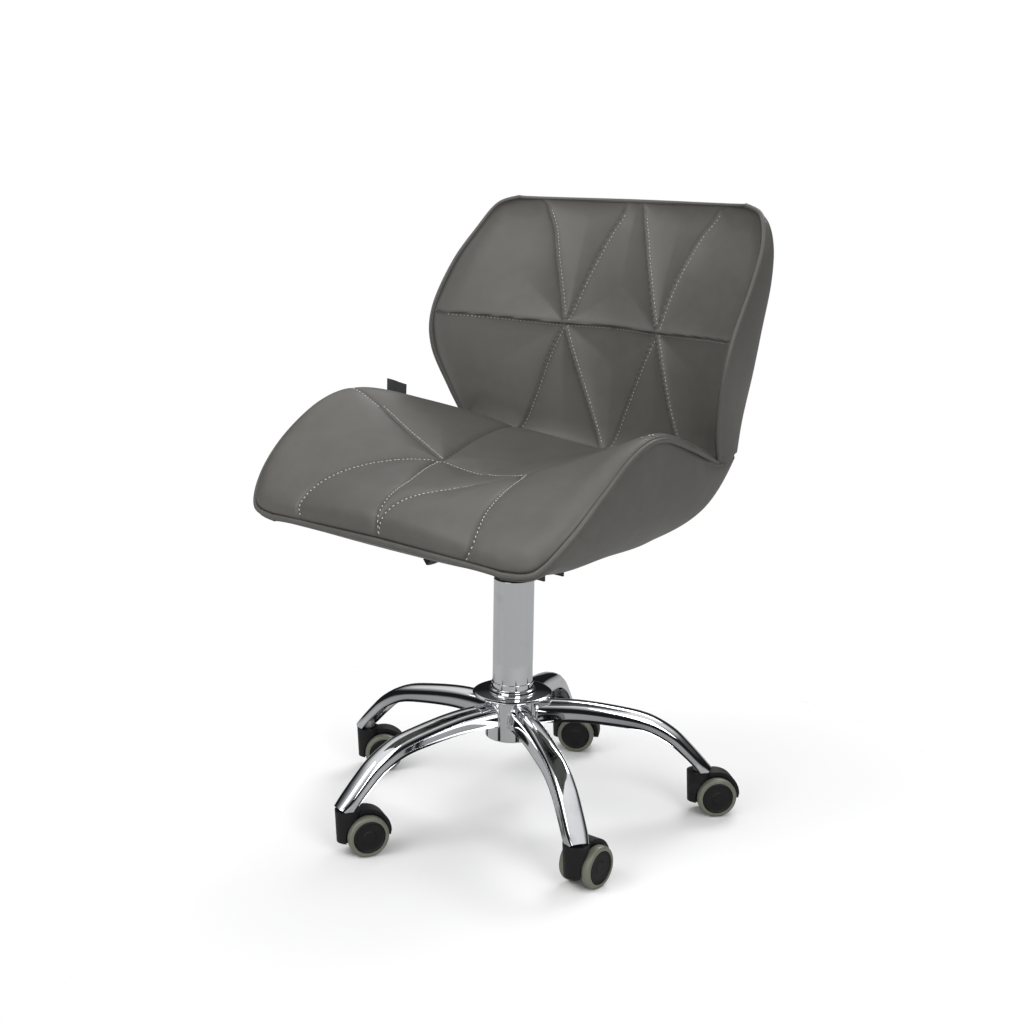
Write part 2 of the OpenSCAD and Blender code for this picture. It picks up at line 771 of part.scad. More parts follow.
module caster_hood(k) {
    color(black)
    caster_place(k)
    difference() {
        union() {
            // Upright barrel round the stem
            difference() {
                translate([0, 0, barrel_z0])
                    cylinder(h = hood_z1 - barrel_z0, r1 = barrel_r - 2, r2 = barrel_r);
                wheel_pocket(1);
                wheel_pocket(-1);
            }
            // Web between the wheels
            intersection() {
                translate([trail, 0, wheel_r])
                    rotate([90, 0, 0])
                        cylinder(h = 2 * hood_half, r = hood_r, center = true);
                translate([-barrel_r, -barrel_r, wheel_r - 5])
                    cube([3 * hood_r, 2 * barrel_r, 2 * hood_r]);
            }
            // Rim that reaches over the inner edges of the tyres
            translate([trail, 0, wheel_r])
                rotate([90, 0, 0])
                    rotate_extrude(angle = 125)
                        translate([wheel_r + hood_clear, -rim_half])
                            square([hood_r - wheel_r - hood_clear, 2 * rim_half]);
        }
        translate([0, 0, stem_z0])
            cylinder(h = hood_z1, r = stem_r + seat_fit);
        translate([trail, 0, wheel_r])
            rotate([90, 0, 0])
                cylinder(h = 2 * wheel_gap, r = axle_r + seat_fit, center = true);
    }
}

module caster_pins(k) {
    color(steel)
    caster_place(k) {
        translate([0, 0, stem_z0 + seat_fit])
            cylinder(h = stem_z1 - stem_z0, r = stem_r);
        translate([trail, 0, wheel_r])
            rotate([90, 0, 0])
                cylinder(h = 2 * axle_half, r = axle_r, center = true);
    }
}

// A wheel's parts are turned on their axle, with the inner face at 0
module on_axle(k, side) {
    caster_place(k)
    translate([trail, side * wheel_gap / 2, wheel_r])
    rotate([-90 * side, 0, 0])
        children();
}

module caster_core(k, side) {
    dish = 1.2;
    color(black)
    on_axle(k, side)
    difference() {
        union() {
            cylinder(h = wheel_w - dish, r = core_r);
            translate([0, 0, wheel_w - dish])
                cylinder(h = dish, r1 = core_r, r2 = core_r - dish);
        }
        translate([0, 0, -over])
            cylinder(h = wheel_w - 3 + running + over, r = axle_r + running);
    }
}

module caster_tyre(k, side) {
    corner = 2.5;
    face = 0.4;
    color(tyre_grey)
    on_axle(k, side)
    rotate_extrude()
    difference() {
        union() {
            translate([core_r + seat_fit, face])
                square([tyre_t - corner - seat_fit, wheel_w - 2 * face]);
            translate([core_r + seat_fit, face + corner])
                square([tyre_t - seat_fit, wheel_w - 2 * face - 2 * corner]);
            for (y = [face + corner, wheel_w - face - corner])
                translate([wheel_r - corner, y])
                    circle(r = corner);
        }
    }
}

base_hub();
base_plate();
for (k = [0:legs - 1])
    leg(k);
caster_sockets();
column_tube();
column_bush();
piston_rod();
thrust_bearing();
rod_clip();
rubber_buffer();
gas_cylinder();
valve_pin();
seat_plate();
plate_bolts();
tee_nuts();
lever_rod();
lever_grip();
seat_ply();
back_ply();
back_irons();
seat_cushion();
back_cushion();
seat_cover();
back_cover();
seat_welt();
back_welt();
for (k = [0:legs - 1]) {
    caster_hood(k);
    caster_pins(k);
    caster_core(k, 1);
    caster_core(k, -1);
    caster_tyre(k, 1);
    caster_tyre(k, -1);
}
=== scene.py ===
"""Looks for a low-back swivel chair: padded seat and back, chromed star base, casters.

Lengths are in metres. +Z is up, the sitter faces -Y, and +X is the sitter's left.
The origin is on the floor, on the axis of the column.
"""
import json
import math

import bmesh
import bpy
import numpy as np
from mathutils import Matrix, Vector
from mathutils.bvhtree import BVHTree


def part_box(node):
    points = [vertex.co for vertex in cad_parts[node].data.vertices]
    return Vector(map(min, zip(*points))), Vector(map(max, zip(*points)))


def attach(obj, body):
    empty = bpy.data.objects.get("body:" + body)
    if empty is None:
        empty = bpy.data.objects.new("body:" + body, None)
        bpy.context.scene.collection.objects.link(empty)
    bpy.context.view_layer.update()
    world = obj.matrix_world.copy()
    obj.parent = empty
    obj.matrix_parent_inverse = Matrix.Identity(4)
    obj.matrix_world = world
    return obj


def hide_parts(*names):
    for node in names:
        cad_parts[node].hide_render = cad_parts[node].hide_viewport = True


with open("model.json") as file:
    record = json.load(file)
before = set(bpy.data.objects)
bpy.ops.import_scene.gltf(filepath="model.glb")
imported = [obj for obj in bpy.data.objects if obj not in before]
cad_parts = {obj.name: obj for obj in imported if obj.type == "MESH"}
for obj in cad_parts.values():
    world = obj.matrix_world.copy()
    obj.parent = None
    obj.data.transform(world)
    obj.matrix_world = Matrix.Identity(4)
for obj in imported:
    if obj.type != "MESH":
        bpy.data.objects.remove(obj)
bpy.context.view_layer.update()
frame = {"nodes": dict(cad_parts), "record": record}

MM = 0.001


# --- Shader sockets as values ---------------------------------------------
class Wire:
    """An output socket. Python's operators on it add Math nodes."""

    def __init__(self, maker, socket):
        self.maker = maker
        self.socket = socket

    def maths(self, operation, first, second):
        return self.maker.node("ShaderNodeMath", {"operation": operation}, {0: first, 1: second})

    def __add__(self, other):
        return self.maths("ADD", self, other)

    __radd__ = __add__

    def __mul__(self, other):
        return self.maths("MULTIPLY", self, other)

    __rmul__ = __mul__

    def __sub__(self, other):
        return self.maths("SUBTRACT", self, other)

    def __rsub__(self, other):
        return self.maths("SUBTRACT", other, self)

    def __truediv__(self, other):
        return self.maths("DIVIDE", self, other)

    def __pow__(self, other):
        return self.maths("POWER", self, other)


class Board:
    """A node tree and the nodes that are set out in it."""

    def __init__(self, tree, coordinates):
        self.tree = tree
        self.tree.nodes.clear()
        self.place = self.node("ShaderNodeTexCoord", out=coordinates)

    def node(self, kind, settings=None, inputs=None, out=0):
        made = self.tree.nodes.new(kind)
        for key, value in (settings or {}).items():
            if key == "stops":
                made.color_ramp.elements[0].position = value[0][0]
                made.color_ramp.elements[0].color = value[0][1]
                made.color_ramp.elements[1].position = value[-1][0]
                made.color_ramp.elements[1].color = value[-1][1]
                for position, colour in value[1:-1]:
                    made.color_ramp.elements.new(position).color = colour
            else:
                setattr(made, key, value)
        for key, value in (inputs or {}).items():
            if isinstance(value, Wire):
                self.tree.links.new(value.socket, made.inputs[key])
            else:
                made.inputs[key].default_value = value
        return Wire(self, made.outputs[out])

    def noise(self, scale, detail=3.0, rough=0.5, place=None):
        return self.node("ShaderNodeTexNoise", {},
                         {"Vector": place or self.place, "Scale": scale, "Detail": detail,
                          "Roughness": rough}, "Fac")

    def cells(self, scale):
        return self.node("ShaderNodeTexVoronoi", {"feature": "DISTANCE_TO_EDGE"},
                         {"Vector": self.place, "Scale": scale}, "Distance")

    def bands(self, direction, scale, distortion=0.0):
        return self.node("ShaderNodeTexWave", {"wave_type": "BANDS", "bands_direction": direction},
                         {"Vector": self.place, "Scale": scale, "Distortion": distortion}, "Fac")

    def stretched(self, scale):
        return self.node("ShaderNodeMapping", {}, {"Vector": self.place, "Scale": scale})

    def span(self, value, low, high, to_low, to_high):
        return self.node("ShaderNodeMapRange", {"interpolation_type": "SMOOTHSTEP"},
                         {"Value": value, "From Min": low, "From Max": high,
                          "To Min": to_low, "To Max": to_high})

    def blend(self, share, first, second):
        return self.node("ShaderNodeMix", {"data_type": "RGBA"},
                         {0: share, 6: first, 7: second}, 2)

    def bump(self, height, distance, strength=1.0, under=None):
        links = {"Height": height, "Distance": distance, "Strength": strength}
        if under is not None:
            links["Normal"] = under
        return self.node("ShaderNodeBump", {}, links)


class Finish(Board):
    """One material, built node by node."""

    def __init__(self, name):
        self.material = bpy.data.materials.new(name)
        self.material.use_nodes = True
        super().__init__(self.material.node_tree, "Object")

    def surface(self, **sockets):
        shader = self.node("ShaderNodeBsdfPrincipled", {},
                           {key.replace("_", " "): value for key, value in sockets.items()})
        end = self.tree.nodes.new("ShaderNodeOutputMaterial")
        self.tree.links.new(shader.socket, end.inputs["Surface"])
        return self.material


def rgb(r, g, b):
    return (r, g, b, 1.0)


def grey(level):
    return rgb(level, level, level)


# --- Finishes -------------------------------------------------------------
def make_leather(name, tone, painted_seam_shade):
    """Smooth coated hide: a fine pebble, soft blotches, and small creases along the seams. Where asked, the
    colour is also darkened close to the seams as painted shade in their grooves.
    """
    f = Finish(name)
    blotch = f.noise(7, 3)
    mottle = f.noise(60, 4)
    pebble = f.cells(820)
    pore = f.noise(1500, 2)
    share = f.span(blotch * 0.7 + mottle * 0.3, 0.35, 0.65, 0.0, 1.0)
    dark = rgb(*(c * 0.9 for c in tone))
    light = rgb(*(c * 1.08 for c in tone))
    colour = f.blend(share, dark, light)
    seam = f.node("ShaderNodeAttribute", {"attribute_name": "seam"}, out="Fac")
    # Painted shade: within 4 mm of a seam the colour is blended towards a much darker hide, by up to 0.45 at
    # the seam, standing in for shade in the seam grooves.
    if painted_seam_shade:
        colour = f.blend(f.span(seam, 0.0, 0.004, 0.45, 0.0), colour, rgb(*(c * 0.45 for c in tone)))
    grain = f.span(pebble, 0.0, 0.35, 0.0, 1.0) * 0.7 + pore * 0.3
    fine = f.bump(grain, 0.00012, 0.55)
    folds = f.noise(42, 3, 0.6, f.stretched((1.0, 1.0, 0.6)))
    near = f.span(seam, 0.0, 0.03, 1.0, 0.12)
    normal = f.bump(folds * near, 0.0016, 0.35, fine)
    return f.surface(Base_Color=colour, Roughness=0.40 + mottle * 0.12 + (1 - share) * 0.04,
                     Specular_IOR_Level=0.45, Normal=normal)


def make_chrome():
    """Bright plating over pressed steel: faint waves, hazy finger marks."""
    f = Finish("chrome_plate")
    waves = f.noise(16, 2)
    haze = f.span(f.noise(38, 4), 0.5, 0.8, 0.0, 1.0)
    specks = f.span(f.noise(900, 2), 0.66, 0.74, 0.0, 1.0)
    colour = f.blend(haze, rgb(0.74, 0.75, 0.77), rgb(0.64, 0.65, 0.67))
    return f.surface(Base_Color=colour, Metallic=1.0, Roughness=0.045 + haze * 0.06 + specks * 0.08,
                     Normal=f.bump(waves, 0.0006, 0.25))


def make_steel():
    """Zinc-plated steel: cloudy and slightly drawn out."""
    f = Finish("zinc_steel")
    drawn = f.noise(60, 3, 0.6, f.stretched((1.0, 1.0, 8.0)))
    cloud = f.noise(25, 4)
    colour = f.blend(cloud, rgb(0.42, 0.43, 0.44), rgb(0.62, 0.62, 0.60))
    return f.surface(Base_Color=colour, Metallic=1.0, Roughness=0.28 + drawn * 0.22,
                     Normal=f.bump(drawn, 0.0002, 0.4))


def make_black_plastic():
    """Moulded nylon: spark-eroded grain, polished a little where hands and floors rub."""
    f = Finish("black_nylon")
    grain = f.noise(1900, 3, 0.7)
    rub = f.span(f.noise(45, 4), 0.55, 0.75, 0.0, 1.0)
    colour = f.blend(rub, rgb(0.0045, 0.0045, 0.005), rgb(0.009, 0.009, 0.0095))
    return f.surface(Base_Color=colour, Specular_IOR_Level=0.35, Roughness=0.46 - rub * 0.10 + grain * 0.08,
                     Normal=f.bump(grain, 0.00008, 0.5))


def make_tyre():
    """Grey-green polyurethane: waxy, scuffed on the tread."""
    f = Finish("soft_tyre")
    scuff = f.span(f.noise(140, 5, 0.65), 0.5, 0.8, 0.0, 1.0)
    cloud = f.noise(30, 3)
    base = f.blend(cloud, rgb(0.120, 0.124, 0.096), rgb(0.155, 0.160, 0.125))
    colour = f.blend(scuff * 0.5, base, rgb(0.12, 0.12, 0.10))
    return f.surface(Base_Color=colour, Roughness=0.38 + scuff * 0.2,
                     Normal=f.bump(scuff, 0.00015, 0.4))


def make_plywood():
    """Bent beech plywood: long grain with fine pores."""
    f = Finish("beech_ply")
    rings = f.noise(9, 4, 0.6, f.stretched((1.0, 6.0, 6.0)))
    pores = f.noise(240, 2, 0.5, f.stretched((1.0, 14.0, 14.0)))
    colour = f.blend(rings, rgb(0.36, 0.22, 0.11), rgb(0.60, 0.42, 0.24))
    return f.surface(Base_Color=colour, Roughness=0.6 + pores * 0.15, Normal=f.bump(pores, 0.0001, 0.5))


def make_rubber():
    """Black rubber with a grey bloom."""
    f = Finish("buffer_rubber")
    bloom = f.noise(80, 4)
    colour = f.blend(bloom, rgb(0.014, 0.014, 0.014), rgb(0.035, 0.035, 0.034))
    return f.surface(Base_Color=colour, Roughness=0.7 + bloom * 0.15, Normal=f.bump(bloom, 0.0002, 0.3))


def make_black_paint(name):
    """Satin powder coat with its faint orange peel."""
    f = Finish(name)
    peel = f.noise(520, 2)
    dust = f.span(f.noise(18, 4), 0.5, 0.8, 0.0, 1.0)
    colour = f.blend(dust, rgb(0.016, 0.016, 0.017), rgb(0.034, 0.034, 0.034))
    return f.surface(Base_Color=colour, Roughness=0.32 + dust * 0.15, Normal=f.bump(peel, 0.0001, 0.5))


def make_thread():
    """Twisted polyester thread, pale grey."""
    f = Finish("pale_thread")
    twist = f.bands("DIAGONAL", 900.0, 2.0)
    colour = f.blend(twist, rgb(0.58, 0.57, 0.54), rgb(0.80, 0.79, 0.75))
    return f.surface(Base_Color=colour, Roughness=0.6, Normal=f.bump(twist, 0.0001, 0.5))


def make_tag():
    """Dark woven ribbon: a plain weave."""
    f = Finish("woven_tag")
    weave = f.bands("X", 700.0) * 0.5 + f.bands("Z", 700.0) * 0.5
    colour = f.blend(weave, rgb(0.020, 0.023, 0.025), rgb(0.060, 0.066, 0.070))
    return f.surface(Base_Color=colour, Roughness=0.75, Normal=f.bump(weave, 0.0002, 0.6))


HIDE = (0.102, 0.099, 0.091)
leather = make_leather("grey_hide", HIDE, True)
cover_leather = make_leather("grey_cover_hide", HIDE, False)
chrome = make_chrome()
steel = make_steel()
nylon = make_black_plastic()
tyre = make_tyre()
plywood = make_plywood()
rubber = make_rubber()
black_paint = make_black_paint("black_powder_coat")
cylinder_paint = make_black_paint("cylinder_paint")
thread = make_thread()
tag_cloth = make_tag()

SLOT_FINISH = {
    "chromed_steel": chrome, "plain_steel": steel, "cylinder_paint": cylinder_paint,
    "black_paint": black_paint, "black_plastic": nylon, "tyre_grey": tyre,
    "buffer_rubber": rubber, "plywood": plywood, "grey_leather": leather,
    "welt_leather": cover_leather,
}
SLOT_OF = {row["node"]: row["material_slot"] for row in frame["record"]["subparts"]}
for node_name, node_object in frame["nodes"].items():
    for slot in node_object.material_slots:
        slot.material = SLOT_FINISH[SLOT_OF[node_name]]


# --- Making pieces --------------------------------------------------------
def add_piece(bm, name, finish, body, stands_for=(), sharp=40, even=False):
    """Turns a finished bmesh into a piece that rides on a body."""
    mesh = bpy.data.meshes.new(name)
    bm.to_mesh(mesh)
    bm.free()
    mesh.materials.append(finish)
    mesh.shade_smooth()
    if sharp is not None:
        mesh.set_sharp_from_angle(angle=math.radians(sharp))
    piece = bpy.data.objects.new(name, mesh)
    bpy.context.scene.collection.objects.link(piece)
    if even:
        piece.modifiers.new("even_shading", "WEIGHTED_NORMAL").keep_sharp = True
    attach(piece, body)
    if stands_for:
        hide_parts(*stands_for)
    return piece


def turned(bm, profile, steps=72, place=Matrix.Identity(4)):
    """Spins a closed profile of (radius, height) points round Z."""
    corners = [bm.verts.new((r, 0, z)) for r, z in profile]
    loop = [bm.edges.new((corners[i - 1], corners[i])) for i in range(len(corners))]
    earlier = set(bm.verts) - set(corners)
    bmesh.ops.spin(bm, geom=corners + loop, cent=(0, 0, 0), axis=(0, 0, 1),
                   angle=2 * math.pi, steps=steps, use_merge=True, use_duplicate=False)
    bmesh.ops.remove_doubles(bm, verts=[v for v in bm.verts if v not in earlier], dist=1e-6)
    bmesh.ops.transform(bm, matrix=place, verts=[v for v in bm.verts if v not in earlier])
    bmesh.ops.recalc_face_normals(bm, faces=bm.faces)


def rounded(points, radius, segments=3):
    """A closed (radius, height) outline with each corner replaced by a short arc."""
    out = []
    count = len(points)
    for i, corner in enumerate(points):
        here = Vector(corner)
        before = Vector(points[i - 1]) - here
        after = Vector(points[(i + 1) % count]) - here
        reach = min(radius, before.length * 0.45, after.length * 0.45)
        start = here + before.normalized() * reach
        end = here + after.normalized() * reach
        for k in range(segments + 1):
            t = k / segments
            out.append(tuple((1 - t) ** 2 * start + 2 * t * (1 - t) * here + t * t * end))
    return out


def sweep(bm, section, frames):
    """Extrudes a closed section of points through a list of frames, and closes its ends."""
    verts = [bm.verts.new(frames[0] @ Vector(p)) for p in section]
    edges = [bm.edges.new((verts[i - 1], verts[i])) for i in range(len(verts))]
    ends = list(edges)
    for before, after in zip(frames, frames[1:]):
        made = bmesh.ops.extrude_edge_only(bm, edges=edges)["geom"]
        verts = [g for g in made if isinstance(g, bmesh.types.BMVert)]
        edges = [g for g in made if isinstance(g, bmesh.types.BMEdge)]
        bmesh.ops.transform(bm, matrix=after @ before.inverted(), verts=verts)
    rim = [e for e in edges if all(v in verts for v in e.verts)]
    bmesh.ops.edgeloop_fill(bm, edges=ends)
    bmesh.ops.edgeloop_fill(bm, edges=rim)


def along_path(path, up=(0, 0, 1), scales=None):
    """Frames that run along a path: Z along it, X across, Y towards up."""
    frames = []
    for k, point in enumerate(path):
        ahead = (Vector(path[min(k + 1, len(path) - 1)]) - Vector(path[max(k - 1, 0)])).normalized()
        hint = Vector(up) if not callable(up) else up(k)
        across = hint.cross(ahead).normalized()
        lift = ahead.cross(across)
        turn = Matrix((across, lift, ahead)).transposed().to_4x4()
        size = Matrix.Diagonal((*(scales[k] if scales else (1, 1)), 1, 1))
        frames.append(Matrix.Translation(point) @ turn @ size)
    return frames


def refined(node_name, piece_name, finish, body, edge=0.4 * MM, sharp=35):
    """A copy of a CAD node's shape with its hard edges broken."""
    bm = bmesh.new()
    bm.from_mesh(frame["nodes"][node_name].data)
    bmesh.ops.remove_doubles(bm, verts=bm.verts, dist=1e-5)
    bmesh.ops.dissolve_limit(bm, angle_limit=math.radians(0.5), verts=bm.verts, edges=bm.edges)
    hard = [e for e in bm.edges if len(e.link_faces) == 2 and e.calc_face_angle() > math.radians(sharp)]
    bmesh.ops.bevel(bm, geom=hard, offset=edge, affect="EDGES", segments=2, profile=0.5,
                    material=-1, clamp_overlap=True)
    return add_piece(bm, piece_name, finish, body, (node_name,), sharp, True)


# --- Sculpted skins -------------------------------------------------------
# Each skin has three lines: down its middle, along its rim, and down the middle of its
# rear side. The seat's run from front to rear, the back's from bottom to top.
SEAT_HALF = 252
BACK_HALF = 241
UNDER = 345
TOP = 755
ROUND_POWER = 2.8
DIP_POWER = 2.2
SEAT = {
    "mid": [(0, -224, 390), (0, -216, 414), (0, -187, 429), (0, -130, 434),
            (0, -60, 434), (0, 10, 434), (0, 95, 435), (0, 162, 439)],
    "rim": [(SEAT_HALF - 66, -222, 386), (SEAT_HALF - 25, -215, 393), (SEAT_HALF - 4, -187, 427),
            (SEAT_HALF + 3, -143, 468), (SEAT_HALF, -88, 504), (SEAT_HALF - 6, -36, 514),
            (SEAT_HALF - 20, 35, 494), (SEAT_HALF - 45, 121, 463)],
    "rear": [(0, -222, 381), (0, -212, UNDER + 31), (0, -180, UNDER + 19), (0, -110, UNDER + 3),
             (0, 0, UNDER), (0, 110, UNDER + 2), (0, 195, UNDER + 27), (0, 230, UNDER + 115)],
    "rise": 1.4, "gap": (0, 0, -9), "square": (0.7, 1.0),
}
BACK = {
    "mid": [(0, 162, 443.5), (0, 163, 500), (0, 167, 560), (0, 175, 610),
            (0, 184, TOP - 85), (0, 196, TOP - 40), (0, 205, TOP - 17), (0, 214, TOP)],
    "rim": [(BACK_HALF - 34, 121, 465), (BACK_HALF - 23, 102, 508), (BACK_HALF - 7, 86, 562),
            (BACK_HALF - 1, 93, 610), (BACK_HALF - 3, 128, TOP - 87), (BACK_HALF - 14, 162, TOP - 43),
            (BACK_HALF - 32, 182, TOP - 11), (BACK_HALF - 60, 192, TOP - 1)],
    "rear": [(0, 231, 464), (0, 235, 505), (0, 239, 560), (0, 243, 610),
             (0, 246, TOP - 90), (0, 243, TOP - 50), (0, 236, TOP - 25), (0, 224, TOP - 7)],
    "rise": 2.0, "gap": (0, 9, 0), "square": (-2.0, -1.0),
}
FOAM_END = 0.62
COVER_START = 0.83


def smooth_line(points, v):
    """Points of a smooth curve through a list of points, at places v from 0 to 1."""
    p = np.array(points, float)
    last = len(p) - 1
    s = np.clip(np.asarray(v, float) * last, 0, last - 1e-6)
    i = np.floor(s).astype(int)
    t = (s - i)[:, None]
    a, b, c, d = p[np.maximum(i - 1, 0)], p[i], p[i + 1], p[np.minimum(i + 2, last)]
    return 0.5 * (2 * b + (c - a) * t + (2 * a - 5 * b + 4 * c - d) * t ** 2
                  + (3 * b - 3 * c + d - a) * t ** 3)


def skin_points(skin, s, v, depth):
    """Points between a skin's front, depth 0, and its rear side, depth 1."""
    u = np.sin(np.pi / 2 * s)
    a = np.abs(u)
    mid, rim, rear = (smooth_line(skin[key], v) for key in ("mid", "rim", "rear"))
    edge = rim + np.array(skin["gap"], float)
    belly = np.maximum(1 - a ** ROUND_POWER, 0) ** (1 / ROUND_POWER)
    low, high = skin["square"]
    t = np.clip((v - low) / (high - low), 0, 1)
    square = t * t * (3 - 2 * t)
    across = square * belly + (1 - square) * (1 - a ** DIP_POWER)
    front = np.stack([rim[:, 0] * u, mid[:, 1] + (rim[:, 1] - mid[:, 1]) * a ** DIP_POWER,
                      mid[:, 2] + (rim[:, 2] - mid[:, 2]) * a ** skin["rise"]], 1)
    back = np.stack([edge[:, 0] * u, edge[:, 1] + (rear[:, 1] - edge[:, 1]) * across,
                     edge[:, 2] + (rear[:, 2] - edge[:, 2]) * belly], 1)
    return ((1 - depth) * front + depth * back) * MM


def skin_normals(skin, s, v, depth, outward):
    """Unit normals of a layer, on the side away from the padding."""
    step = 1e-3
    ds = skin_points(skin, s + step, v, depth) - skin_points(skin, s - step, v, depth)
    lo, hi = np.clip(v - step, 0, 1), np.clip(v + step, 0, 1)
    dv = skin_points(skin, s, hi, depth) - skin_points(skin, s, lo, depth)
    n = np.cross(ds, dv)
    n /= np.maximum(np.linalg.norm(n, axis=1), 1e-12)[:, None]
    return n * outward


def nearest(points, lines):
    """Distance from each point to the nearest of some polylines."""
    best = np.full(len(points), 9.0)
    for line in lines:
        for a, b in zip(line[:-1], line[1:]):
            ab = b - a
            t = np.clip(((points - a) @ ab) / max(ab @ ab, 1e-12), 0, 1)
            gap = np.linalg.norm(points - (a + t[:, None] * ab), axis=1)
            np.minimum(best, gap, out=best)
    return best


def seam_line(fractions, count=40):
    """A seam as (s, v) places along a smooth curve through (across, along) fractions."""
    flat = np.array([(x, y, 0) for x, y in fractions], float)
    uv = smooth_line(flat, np.linspace(0, 1, count))
    s = np.arcsin(np.clip(uv[:, 0], -1, 1)) * 2 / np.pi
    return s, np.clip(uv[:, 1], 0, 1)


def both_sides(seams):
    return seams + [[(-x, y) for x, y in seam] for seam in seams if any(x for x, _ in seam)]


# Seams as (across, along) fractions of the skin, each from its node outwards
SEAT_NODE = (0.265, 0.575)
SEAT_SEWN = both_sides([
    [SEAT_NODE, (0.42, 0.60), (0.60, 0.625), (0.80, 0.66), (0.93, 0.68), (1.0, 0.69)],
    [SEAT_NODE, (0.25, 0.52), (0.12, 0.37), (0.055, 0.26), (0.02, 0.14), (0.0, 0.0)],
    [SEAT_NODE, (0.36, 0.51), (0.45, 0.40), (0.52, 0.29), (0.60, 0.17), (0.72, 0.0)],
    [SEAT_NODE, (0.0, 0.585)],
])
SEAT_SEAMS = SEAT_SEWN + both_sides([[SEAT_NODE, (0.35, 0.70), (0.50, 0.86), (0.66, 1.0)]])
BACK_NODE = (0.312, 0.40)
BACK_SEAMS = both_sides([
    [BACK_NODE, (0.0, 0.405)],
    [BACK_NODE, (0.52, 0.405), (0.76, 0.415), (1.0, 0.425)],
    [BACK_NODE, (0.36, 0.50), (0.44, 0.62), (0.55, 0.77), (0.70, 0.92), (0.82, 1.0)],
    [BACK_NODE, (0.24, 0.50), (0.16, 0.64), (0.10, 0.80), (0.065, 1.0)],
    [BACK_NODE, (0.40, 0.27), (0.52, 0.13), (0.66, 0.0)],
    [BACK_NODE, (0.24, 0.28), (0.13, 0.13), (0.02, 0.0)],
])


def doubled_grid(bm, grid):
    """A closed flat grid with two faces. Gives the vertices of the one and of the other."""
    bmesh.ops.create_grid(bm, x_segments=grid[0], y_segments=grid[1], size=1.0)
    made = bmesh.ops.extrude_face_region(bm, geom=bm.faces[:], use_keep_orig=True)
    second = [g for g in made["geom"] if isinstance(g, bmesh.types.BMVert)]
    chosen = set(second)
    return second, [v for v in bm.verts if v not in chosen]


def grid_places(verts):
    """The (s, v) places on a skin of vertices on a flat grid from -1 to 1."""
    return np.array([v.co.x for v in verts]), np.array([(v.co.y + 1) / 2 for v in verts])


EDGE_CURL = 28 * MM
KNOT_REACH = 110 * MM
CREASE_W = 1.8 * MM
CREASE_DEPTH = 1.3 * MM
CREASE_FADE = 6 * MM


def padded_panel(name, skin, seams, outward, puff, reach, grid, stands_for):
    """A cushion: puffed panels between sewn lines in front, and a plain rear side."""
    bm = bmesh.new()
    store = bm.verts.layers.float.new("seam")
    front, rear = doubled_grid(bm, grid)
    for verts, depth in ((front, 0.0), (rear, FOAM_END)):
        s, v01 = grid_places(verts)
        points = skin_points(skin, s, v01, depth)
        gap = np.full(len(verts), 1.0)
        if depth == 0.0:
            gap = nearest(points, [skin_points(skin, *seam_line(seam), 0.0) for seam in seams])
            ends = np.linspace(0, 1, 60)
            ones = np.ones(60)
            border = [skin_points(skin, ones, ends, 0.0), skin_points(skin, -ones, ends, 0.0),
                      skin_points(skin, 2 * ends - 1, ones * 0, 0.0),
                      skin_points(skin, 2 * ends - 1, ones, 0.0)]
            edge = nearest(points, border)
            knots = [skin_points(skin, *seam_line(seam, 2), 0.0)[:1] for seam in seams]
            knot_gap = np.min([np.linalg.norm(points - k, axis=1) for k in knots], axis=0)
            depth_share = 0.45 + 0.55 * np.exp(-(knot_gap / KNOT_REACH) ** 2)
            curl = np.minimum(edge / EDGE_CURL, 1)
            curl = np.sqrt(np.maximum(1 - (1 - curl) ** 2, 0))
            notch = 1 - np.minimum(gap / reach, 1)
            notch = 1 - np.sqrt(np.maximum(1 - notch ** 2, 0))
            crease = np.exp(-(gap / CREASE_W) ** 2) * np.minimum(edge / CREASE_FADE, 1)
            lift = puff * curl * (1 - depth_share * notch) - CREASE_DEPTH * crease
            points = points + skin_normals(skin, s, v01, 0.0, outward) * lift[:, None]
        for vert, point, value in zip(verts, points, gap):
            vert.co = point
            vert[store] = float(value)
    bmesh.ops.recalc_face_normals(bm, faces=bm.faces)
    piece = add_piece(bm, name, leather, "seat", stands_for, sharp=60)
    return piece


seat_pad = padded_panel("seat_padding", SEAT, SEAT_SEAMS, 1, 11 * MM, 75 * MM, (260, 220),
                        ("seat_cushion",))
back_pad = padded_panel("back_padding", BACK, BACK_SEAMS, -1, 12 * MM, 70 * MM, (240, 200),
                        ("back_cushion",))


def outer_cover(name, skin, grid, stands_for):
    """The hide over the rear and the underside, drawn tight over thin padding."""
    bm = bmesh.new()
    outer, inner = doubled_grid(bm, grid)
    for verts, depth in ((outer, 1.0), (inner, COVER_START)):
        for vert, point in zip(verts, skin_points(skin, *grid_places(verts), depth)):
            vert.co = point
    bmesh.ops.recalc_face_normals(bm, faces=bm.faces)
    piece = add_piece(bm, name, cover_leather, "seat", stands_for, sharp=60)


outer_cover("seat_outer_cover", SEAT, (120, 100), ("seat_cover",))
outer_cover("back_outer_cover", BACK, (120, 100), ("back_cover",))


# --- Welts ----------------------------------------------------------------
WELT_R = 3.2 * MM
WELT_DEPTH = 0.35


def rim_path(skin, whole_end, centre, flat, steps=90):
    """Points round a rim: one side, the end that is open to view, and the other side."""
    side = np.linspace(1 - whole_end, whole_end, steps)
    end = np.linspace(-1, 1, steps)[1:-1]
    s = np.concatenate([-np.ones(steps), end, np.ones(steps)])
    v = np.concatenate([side, np.full(len(end), float(whole_end)), side[::-1]])
    points = skin_points(skin, s, v, WELT_DEPTH)
    away = points - np.array(centre)
    away[:, flat] = 0
    away /= np.linalg.norm(away, axis=1)[:, None]
    return points + away * 2.2 * MM, away


